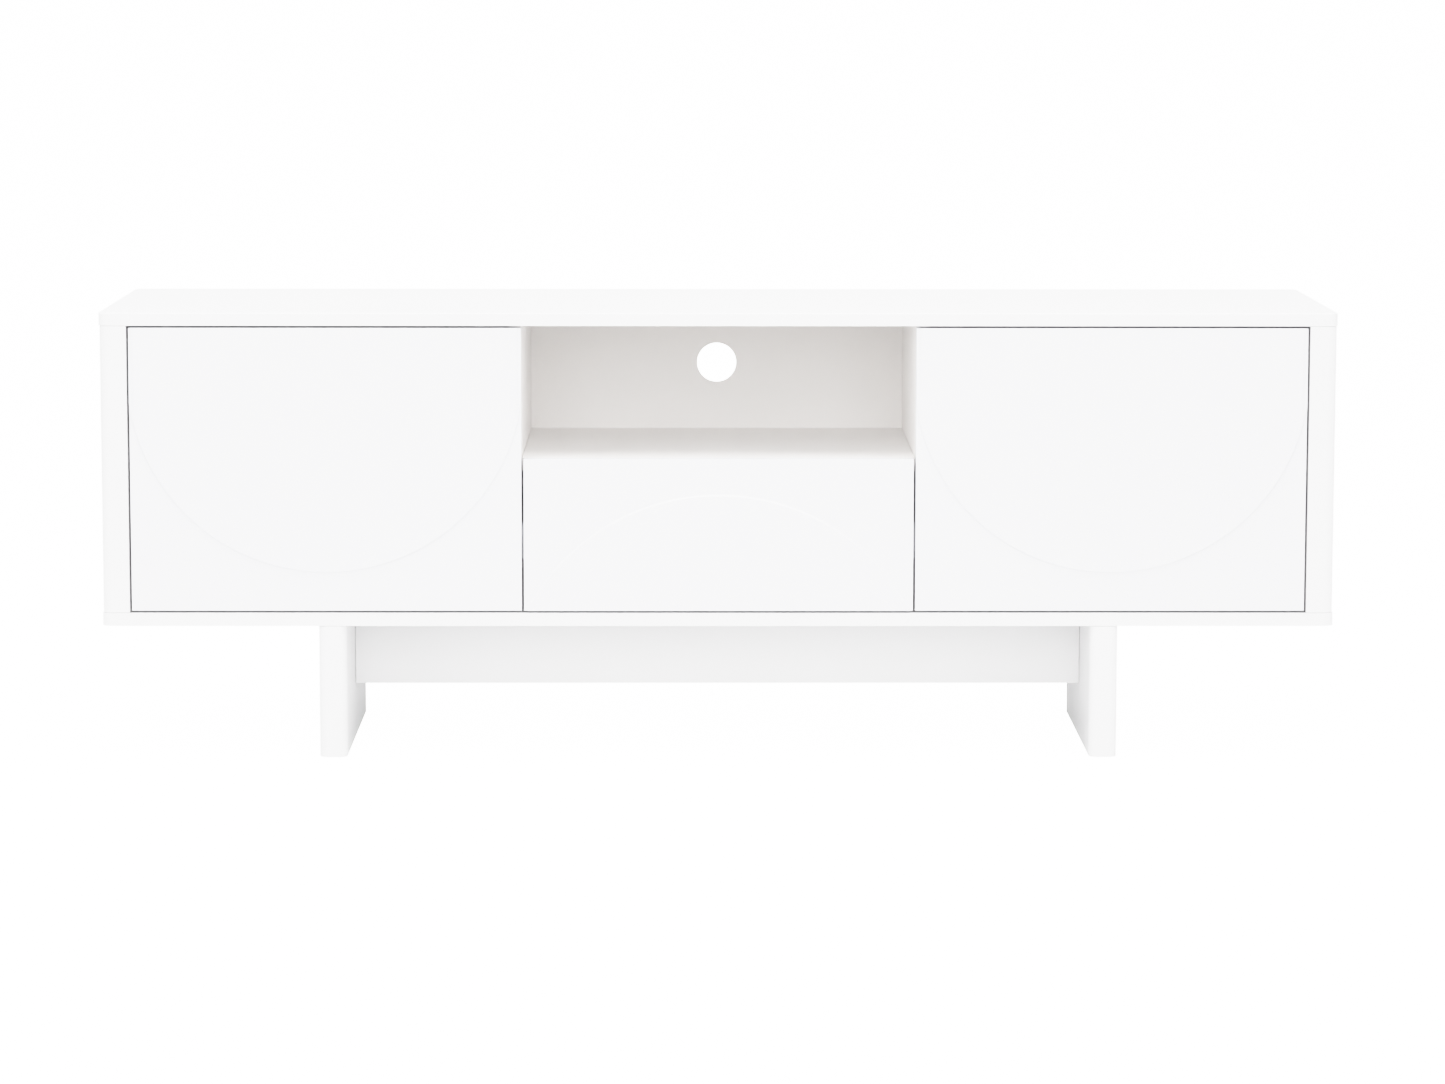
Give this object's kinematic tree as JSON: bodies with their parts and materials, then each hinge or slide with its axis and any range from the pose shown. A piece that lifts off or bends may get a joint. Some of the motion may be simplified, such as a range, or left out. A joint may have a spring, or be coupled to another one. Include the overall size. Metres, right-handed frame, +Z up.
{
  "type": "tv stand with doors",
  "caption": "Low white TV stand: push-open doors either side of an open niche and a drawer, on slab legs joined by a stretcher board.",
  "frame": {"origin": "on the floor under the middle of the cabinet", "axes": "+X along the width to the right as seen from the front, +Y from the front to the back, +Z up; the doors and drawer face -Y"},
  "size_m": [1.5, 0.4, 0.544],
  "materials": {
    "white_lacquer": "white matt lacquer sprayed on fibreboard",
    "front_lacquer": "white matt lacquer sprayed on milled fibreboard fronts",
    "white_melamine": "white melamine-faced board",
    "white_hardboard": "white painted thin hardboard",
    "nickel_plate": "nickel-plated pressed steel, satin",
    "zinc_plate": "bright zinc-plated steel",
    "grey_plastic": "light grey moulded plastic",
    "dark_plastic": "dark grey moulded plastic"
  },
  "bodies": {
    "root": {"top_panel": "white_lacquer", "bottom_panel": "white_lacquer", "left_side": "white_lacquer", "right_side": "white_lacquer", "left_partition": "white_melamine", "right_partition": "white_melamine", "niche_shelf": "white_melamine", "left_back_panel": "white_hardboard", "right_back_panel": "white_hardboard", "center_back_panel": "white_hardboard", "left_shelf": "white_melamine", "right_shelf": "white_melamine", "left_outer_front_shelf_pin": "nickel_plate", "left_outer_rear_shelf_pin": "nickel_plate", "left_inner_front_shelf_pin": "nickel_plate", "left_inner_rear_shelf_pin": "nickel_plate", "right_outer_front_shelf_pin": "nickel_plate", "right_outer_rear_shelf_pin": "nickel_plate", "right_inner_front_shelf_pin": "nickel_plate", "right_inner_rear_shelf_pin": "nickel_plate", "left_leg": "white_lacquer", "right_leg": "white_lacquer", "stretcher": "white_lacquer", "left_upper_hinge_plate": "nickel_plate", "left_upper_hinge_arm": "nickel_plate", "left_lower_hinge_plate": "nickel_plate", "left_lower_hinge_arm": "nickel_plate", "right_upper_hinge_plate": "nickel_plate", "right_upper_hinge_arm": "nickel_plate", "right_lower_hinge_plate": "nickel_plate", "right_lower_hinge_arm": "nickel_plate", "left_runner_cabinet_member": "zinc_plate", "right_runner_cabinet_member": "zinc_plate", "left_latch_housing": "grey_plastic", "right_latch_housing": "grey_plastic", "drawer_latch_housing": "grey_plastic"},
    "left_door": {"left_door": "front_lacquer", "left_door_strike": "zinc_plate", "left_upper_hinge_cup": "nickel_plate", "left_upper_hinge_pin": "nickel_plate", "left_lower_hinge_cup": "nickel_plate", "left_lower_hinge_pin": "nickel_plate"},
    "right_door": {"right_door": "front_lacquer", "right_door_strike": "zinc_plate", "right_upper_hinge_cup": "nickel_plate", "right_upper_hinge_pin": "nickel_plate", "right_lower_hinge_cup": "nickel_plate", "right_lower_hinge_pin": "nickel_plate"},
    "drawer": {"drawer_front": "front_lacquer", "drawer_left_side": "white_melamine", "drawer_right_side": "white_melamine", "drawer_back": "white_melamine", "drawer_bottom": "white_hardboard", "left_runner_drawer_member": "zinc_plate", "right_runner_drawer_member": "zinc_plate"},
    "left_runner_middle": {"left_runner_middle_member": "zinc_plate"},
    "right_runner_middle": {"right_runner_middle_member": "zinc_plate"},
    "left_latch_plunger": {"left_latch_plunger": "dark_plastic"},
    "right_latch_plunger": {"right_latch_plunger": "dark_plastic"},
    "drawer_latch_plunger": {"drawer_latch_plunger": "dark_plastic"}
  },
  "joints": [
    {"name": "left_door_swing", "type": "hinge", "parent": "root", "child": "left_door", "pos_m": [-0.69107, -0.1915, 0.353], "axis": [0, 0, -1], "range_deg": [0, 95]},
    {"name": "right_door_swing", "type": "hinge", "parent": "root", "child": "right_door", "pos_m": [0.69107, -0.1915, 0.353], "axis": [0, 0, 1], "range_deg": [0, 95]},
    {"name": "drawer_slide", "type": "slide", "parent": "root", "child": "drawer", "axis": [0, -1, 0], "range_m": [0, 0.28]},
    {"name": "left_runner_slide", "type": "slide", "parent": "root", "child": "left_runner_middle", "axis": [0, -1, 0], "range_m": [0, 0.14]},
    {"name": "right_runner_slide", "type": "slide", "parent": "root", "child": "right_runner_middle", "axis": [0, -1, 0], "range_m": [0, 0.14]},
    {"name": "left_latch_press", "type": "slide", "parent": "root", "child": "left_latch_plunger", "axis": [0, 1, 0], "range_m": [0, 0.003], "stiffness_N_per_m": 200, "springref_m": -0.005},
    {"name": "right_latch_press", "type": "slide", "parent": "root", "child": "right_latch_plunger", "axis": [0, 1, 0], "range_m": [0, 0.003], "stiffness_N_per_m": 200, "springref_m": -0.005},
    {"name": "drawer_latch_press", "type": "slide", "parent": "root", "child": "drawer_latch_plunger", "axis": [0, 1, 0], "range_m": [0, 0.003], "stiffness_N_per_m": 200, "springref_m": -0.005}
  ],
  "couplings": [
    {"joint": "left_runner_slide", "follows": "drawer_slide", "ratio": 0.5},
    {"joint": "right_runner_slide", "follows": "drawer_slide", "ratio": 0.5}
  ]
}
